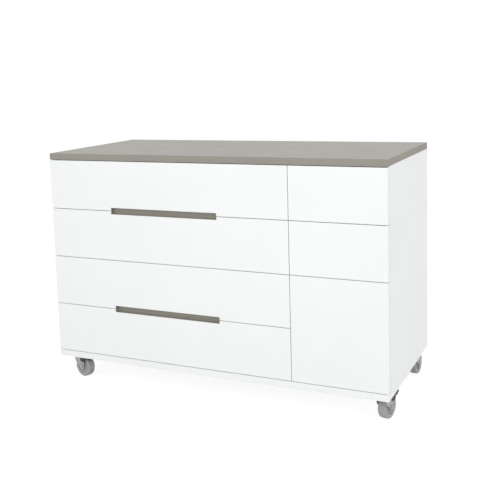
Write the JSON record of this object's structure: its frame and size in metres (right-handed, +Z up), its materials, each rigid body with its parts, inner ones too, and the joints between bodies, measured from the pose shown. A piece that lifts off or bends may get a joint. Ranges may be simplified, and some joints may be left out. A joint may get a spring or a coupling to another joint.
{
  "type": "dresser",
  "caption": "Wide white dresser with a warm grey top, flush drawers with shared recessed grips, a narrow column of push-to-open drawers over a door, and swivel casters.",
  "frame": {"origin": "on the floor under the middle of the body", "axes": "+X to the right as one faces the fronts, +Y from the fronts to the back, +Z up"},
  "size_m": [1.2, 0.547, 0.82],
  "materials": {
    "white_lacquer": "white satin lacquer on board",
    "taupe_laminate": "matt warm grey laminate on board",
    "white_board": "matt white coated board",
    "taupe_plastic": "matt warm grey moulding",
    "beech": "plain beech dowel",
    "zinc_steel": "zinc plated",
    "runner_steel": "zinc plated, rolled",
    "soft_clear": "soft translucent bumper",
    "white_plastic": "moulded",
    "grey_plastic": "moulded",
    "black_plastic": "moulded",
    "wheel_rubber": "grey non-marking tread with a grey hub"
  },
  "bodies": {
    "carcass": {"top_panel": "taupe_laminate", "base_panel": "white_lacquer", "left_side_panel": "white_lacquer", "right_side_panel": "white_lacquer", "divider_panel": "white_board", "fixed_shelf": "white_board", "back_panel": "white_board", "carcass_screws": "zinc_steel", "carcass_dowels": "beech", "front_bumpers": "soft_clear", "cabinet_runners": "runner_steel", "push_latch_housings": "grey_plastic", "door_upper_bracket": "zinc_steel", "door_lower_pivot_pin": "zinc_steel", "fitting_screws": "zinc_steel", "caster_plates": "zinc_steel", "caster_king_pins": "zinc_steel", "caster_plate_screws": "zinc_steel"},
    "drawer_left_1": {"drawer_left_1_box": "white_board", "drawer_left_1_front": "white_lacquer", "drawer_left_1_grip": "taupe_plastic", "drawer_left_1_runners": "runner_steel"},
    "drawer_left_2": {"drawer_left_2_box": "white_board", "drawer_left_2_front": "white_lacquer", "drawer_left_2_grip": "taupe_plastic", "drawer_left_2_runners": "runner_steel"},
    "drawer_left_3": {"drawer_left_3_box": "white_board", "drawer_left_3_front": "white_lacquer", "drawer_left_3_grip": "taupe_plastic", "drawer_left_3_runners": "runner_steel"},
    "drawer_left_4": {"drawer_left_4_box": "white_board", "drawer_left_4_front": "white_lacquer", "drawer_left_4_grip": "taupe_plastic", "drawer_left_4_runners": "runner_steel"},
    "drawer_right_1": {"drawer_right_1_box": "white_board", "drawer_right_1_front": "white_lacquer", "drawer_right_1_runners": "runner_steel"},
    "drawer_right_2": {"drawer_right_2_box": "white_board", "drawer_right_2_front": "white_lacquer", "drawer_right_2_runners": "runner_steel"},
    "door": {"door_panel": "white_lacquer", "door_bushings": "grey_plastic"},
    "plunger_drawer_right_1": {"push_latch_plunger_drawer_right_1": "white_plastic"},
    "plunger_drawer_right_2": {"push_latch_plunger_drawer_right_2": "white_plastic"},
    "plunger_door": {"push_latch_plunger_door": "white_plastic"},
    "swivel_front_left": {"caster_front_left_fork": "zinc_steel", "caster_front_left_axle": "zinc_steel"},
    "wheel_front_left": {"caster_front_left_wheel": "wheel_rubber"},
    "brake_front_left": {"caster_front_left_brake_lever": "black_plastic"},
    "swivel_front_right": {"caster_front_right_fork": "zinc_steel", "caster_front_right_axle": "zinc_steel"},
    "wheel_front_right": {"caster_front_right_wheel": "wheel_rubber"},
    "brake_front_right": {"caster_front_right_brake_lever": "black_plastic"},
    "swivel_rear_left": {"caster_rear_left_fork": "zinc_steel", "caster_rear_left_axle": "zinc_steel"},
    "wheel_rear_left": {"caster_rear_left_wheel": "wheel_rubber"},
    "swivel_rear_right": {"caster_rear_right_fork": "zinc_steel", "caster_rear_right_axle": "zinc_steel"},
    "wheel_rear_right": {"caster_rear_right_wheel": "wheel_rubber"}
  },
  "joints": [
    {"name": "drawer_left_1_slide", "type": "slide", "parent": "carcass", "child": "drawer_left_1", "axis": [0, -1, 0], "range_m": [0, 0.32]},
    {"name": "drawer_left_2_slide", "type": "slide", "parent": "carcass", "child": "drawer_left_2", "axis": [0, -1, 0], "range_m": [0, 0.32]},
    {"name": "drawer_left_3_slide", "type": "slide", "parent": "carcass", "child": "drawer_left_3", "axis": [0, -1, 0], "range_m": [0, 0.32]},
    {"name": "drawer_left_4_slide", "type": "slide", "parent": "carcass", "child": "drawer_left_4", "axis": [0, -1, 0], "range_m": [0, 0.32]},
    {"name": "drawer_right_1_slide", "type": "slide", "parent": "carcass", "child": "drawer_right_1", "axis": [0, -1, 0], "range_m": [0, 0.32]},
    {"name": "drawer_right_2_slide", "type": "slide", "parent": "carcass", "child": "drawer_right_2", "axis": [0, -1, 0], "range_m": [0, 0.32]},
    {"name": "door_hinge", "type": "hinge", "parent": "carcass", "child": "door", "pos_m": [0.593, -0.2625, 0.2835], "axis": [0, 0, 1], "range_deg": [0, 110]},
    {"name": "plunger_drawer_right_1_slide", "type": "slide", "parent": "carcass", "child": "plunger_drawer_right_1", "axis": [0, -1, 0], "range_m": [0, 0.0351]},
    {"name": "plunger_drawer_right_2_slide", "type": "slide", "parent": "carcass", "child": "plunger_drawer_right_2", "axis": [0, -1, 0], "range_m": [0, 0.0351]},
    {"name": "plunger_door_slide", "type": "slide", "parent": "carcass", "child": "plunger_door", "axis": [0, -1, 0], "range_m": [0, 0.0351]},
    {"name": "caster_front_left_swivel", "type": "hinge", "parent": "carcass", "child": "swivel_front_left", "pos_m": [-0.563, -0.2045, 0.08], "axis": [0, 0, 1], "continuous": true},
    {"name": "caster_front_left_roll", "type": "hinge", "parent": "swivel_front_left", "child": "wheel_front_left", "pos_m": [-0.53801, -0.21167, 0.038], "axis": [0.2756, 0.9613, 0], "continuous": true},
    {"name": "caster_front_left_brake", "type": "hinge", "parent": "swivel_front_left", "child": "brake_front_left", "pos_m": [-0.53032, -0.21387, 0.066], "axis": [0.2756, 0.9613, 0], "range_deg": [0, 11]},
    {"name": "caster_front_right_swivel", "type": "hinge", "parent": "carcass", "child": "swivel_front_right", "pos_m": [0.563, -0.2045, 0.08], "axis": [0, 0, 1], "continuous": true},
    {"name": "caster_front_right_roll", "type": "hinge", "parent": "swivel_front_right", "child": "wheel_front_right", "pos_m": [0.56841, -0.17907, 0.038], "axis": [-0.9781, 0.2079, 0], "continuous": true},
    {"name": "caster_front_right_brake", "type": "hinge", "parent": "swivel_front_right", "child": "brake_front_right", "pos_m": [0.57007, -0.17124, 0.066], "axis": [-0.9781, 0.2079, 0], "range_deg": [0, 11]},
    {"name": "caster_rear_left_swivel", "type": "hinge", "parent": "carcass", "child": "swivel_rear_left", "pos_m": [-0.563, 0.2045, 0.08], "axis": [0, 0, 1], "continuous": true},
    {"name": "caster_rear_left_roll", "type": "hinge", "parent": "swivel_rear_left", "child": "wheel_rear_left", "pos_m": [-0.56751, 0.23011, 0.038], "axis": [-0.9848, -0.1736, 0], "continuous": true},
    {"name": "caster_rear_right_swivel", "type": "hinge", "parent": "carcass", "child": "swivel_rear_right", "pos_m": [0.563, 0.2045, 0.08], "axis": [0, 0, 1], "continuous": true},
    {"name": "caster_rear_right_roll", "type": "hinge", "parent": "swivel_rear_right", "child": "wheel_rear_right", "pos_m": [0.56527, 0.2304, 0.038], "axis": [-0.9962, 0.0872, 0], "continuous": true}
  ],
  "couplings": [
    {"joint": "plunger_drawer_right_1_slide", "follows": "drawer_right_1_slide", "ratio": 0.10938},
    {"joint": "plunger_drawer_right_2_slide", "follows": "drawer_right_2_slide", "ratio": 0.10938},
    {"joint": "plunger_door_slide", "follows": "door_hinge", "m_per_rad": 0.01823}
  ]
}
